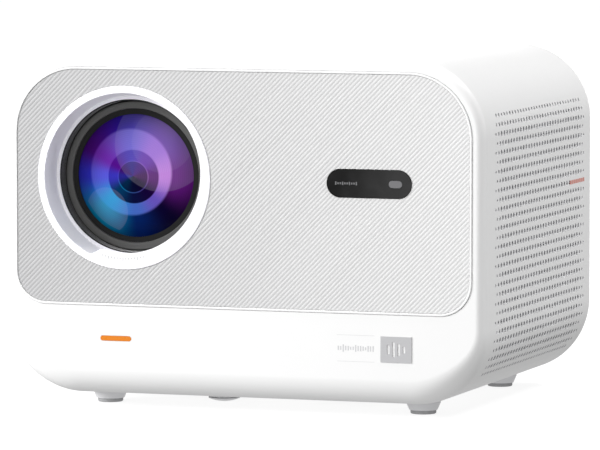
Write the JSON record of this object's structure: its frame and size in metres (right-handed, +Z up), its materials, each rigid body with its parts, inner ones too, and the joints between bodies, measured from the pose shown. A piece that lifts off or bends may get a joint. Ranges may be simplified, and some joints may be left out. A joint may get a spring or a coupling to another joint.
{
  "type": "home projector",
  "caption": "Free-standing home projector: white rounded housing, ribbed front, motor-focused lens, perforated sides, inner optics, fans and speakers.",
  "frame": {"origin": "on the table, under the middle of the object's bounding box", "axes": "+X along the width, towards the sensor window; -Y towards the front, where the lens looks; +Z up"},
  "size_m": [0.235, 0.178, 0.165],
  "materials": {
    "shell_white": "fine matte white moulded plastic",
    "cover_white": "white moulded plastic",
    "trim_white": "satin white plastic",
    "panel_grey": "light grey plastic with fine diagonal ribs",
    "felt": "grey felt",
    "black_gloss": "smoked glossy plastic",
    "sensor_grey": "smoked clear plastic",
    "light_orange": "translucent orange plastic",
    "badge_grey": "grey print on plastic",
    "foot_grey": "pale grey plastic",
    "foot_rubber": "grey rubber",
    "brass": "turned brass",
    "steel": "zinc-plated steel",
    "button_white": "satin white plastic",
    "board_green": "solder-masked glass fibre",
    "part_black": "black moulded plastic",
    "mirror": "front-silvered glass",
    "clear_optic": "clear optical plastic or glass",
    "lcd_dark": "dark liquid-crystal panel",
    "lens_coated": "glass with a violet and blue coating",
    "lens_black": "black lens plastic",
    "lens_rim_grey": "dark grey satin ring",
    "gear_ivory": "natural acetal",
    "aluminium": "extruded aluminium",
    "speaker_dark": "black paper cone and painted basket"
  },
  "bodies": {
    "root": {"housing": "shell_white", "rear_cover": "cover_white", "base_tray": "cover_white", "panel_trim": "trim_white", "front_panel": "panel_grey", "lens_bezel": "trim_white", "lens_seal": "felt", "sensor_window": "black_gloss", "sensor_lens": "sensor_grey", "camera_module": "board_green", "light_bar": "light_orange", "badge_plate": "badge_grey", "foot_collars": "foot_grey", "foot_pads": "foot_rubber", "foot_screws": "steel", "tilt_nut": "brass", "tripod_insert": "brass", "base_screws": "steel", "rear_screws": "steel", "switch_board": "board_green", "ac_inlet": "part_black", "inlet_pins": "steel", "hdmi_ports": "steel", "usb_ports": "steel", "audio_jack": "part_black", "main_board": "board_green", "board_heatsink": "aluminium", "board_posts": "brass", "psu_board": "board_green", "psu_parts": "part_black", "engine_base": "part_black", "engine_cover": "part_black", "engine_legs": "steel", "fold_mirror": "mirror", "exit_fresnel": "clear_optic", "lcd_panel": "lcd_dark", "polariser": "clear_optic", "entry_fresnel": "clear_optic", "condenser_lens": "clear_optic", "led_board": "aluminium", "led_heatsink": "aluminium", "fan_frame": "part_black", "lcd_fan_frame": "part_black", "lens_tube": "lens_black", "focus_motor": "steel", "speaker_boxes": "part_black", "speaker_drivers": "speaker_dark"},
    "focus_gear": {"focus_gear": "gear_ivory"},
    "focus_barrel": {"focus_barrel": "lens_black", "lens_rim": "lens_rim_grey", "front_lens": "lens_coated", "rear_lens": "clear_optic"},
    "motor_pinion": {"motor_pinion": "brass"},
    "tilt_pad": {"tilt_pad": "foot_grey"},
    "tilt_screw": {"tilt_screw": "foot_grey"},
    "power_button": {"power_button": "button_white"},
    "fan_rotor": {"fan_rotor": "part_black"},
    "lcd_fan_rotor": {"lcd_fan_rotor": "part_black"},
    "cone_left": {"cone_left": "speaker_dark"},
    "cone_right": {"cone_right": "speaker_dark"}
  },
  "joints": [
    {"name": "focus_turn", "type": "hinge", "parent": "root", "child": "focus_gear", "pos_m": [-0.0573, -0.057, 0.1084], "axis": [0, 1, 0], "range_deg": [-55.1, 55.1]},
    {"name": "focus_slide", "type": "slide", "parent": "root", "child": "focus_barrel", "axis": [0, -1, 0], "range_m": [-0.003, 0.003]},
    {"name": "pinion_turn", "type": "hinge", "parent": "root", "child": "motor_pinion", "pos_m": [-0.019, -0.057, 0.07626], "axis": [0, 1, 0], "range_deg": [-289, 289]},
    {"name": "tilt_turn", "type": "hinge", "parent": "tilt_pad", "child": "tilt_screw", "pos_m": [-0.0222, -0.049, 0.005], "axis": [0, 0, -1], "range_deg": [0, 2304.1]},
    {"name": "tilt_drop", "type": "slide", "parent": "root", "child": "tilt_pad", "axis": [0, 0, -1], "range_m": [0, 0.008]},
    {"name": "power_press", "type": "slide", "parent": "root", "child": "power_button", "axis": [0, -1, 0], "range_m": [0, 0.0008], "stiffness_N_per_m": 1200, "springref_m": -0.0005},
    {"name": "fan_spin", "type": "hinge", "parent": "root", "child": "fan_rotor", "pos_m": [0.105, 0.02, 0.1084], "axis": [1, 0, 0], "continuous": true},
    {"name": "lcd_fan_spin", "type": "hinge", "parent": "root", "child": "lcd_fan_rotor", "pos_m": [0.0055, 0.02, 0.065], "axis": [0, 0, 1], "continuous": true},
    {"name": "cone_left_stroke", "type": "slide", "parent": "root", "child": "cone_left", "axis": [-1, 0, 0], "range_m": [-0.0008, 0.0008], "stiffness_N_per_m": 900},
    {"name": "cone_right_stroke", "type": "slide", "parent": "root", "child": "cone_right", "axis": [1, 0, 0], "range_m": [-0.0008, 0.0008], "stiffness_N_per_m": 900}
  ],
  "couplings": [
    {"joint": "focus_turn", "follows": "focus_slide", "rad_per_m": 320},
    {"joint": "pinion_turn", "follows": "focus_slide", "rad_per_m": -1680},
    {"joint": "tilt_turn", "follows": "tilt_drop", "rad_per_m": 5026.5}
  ]
}
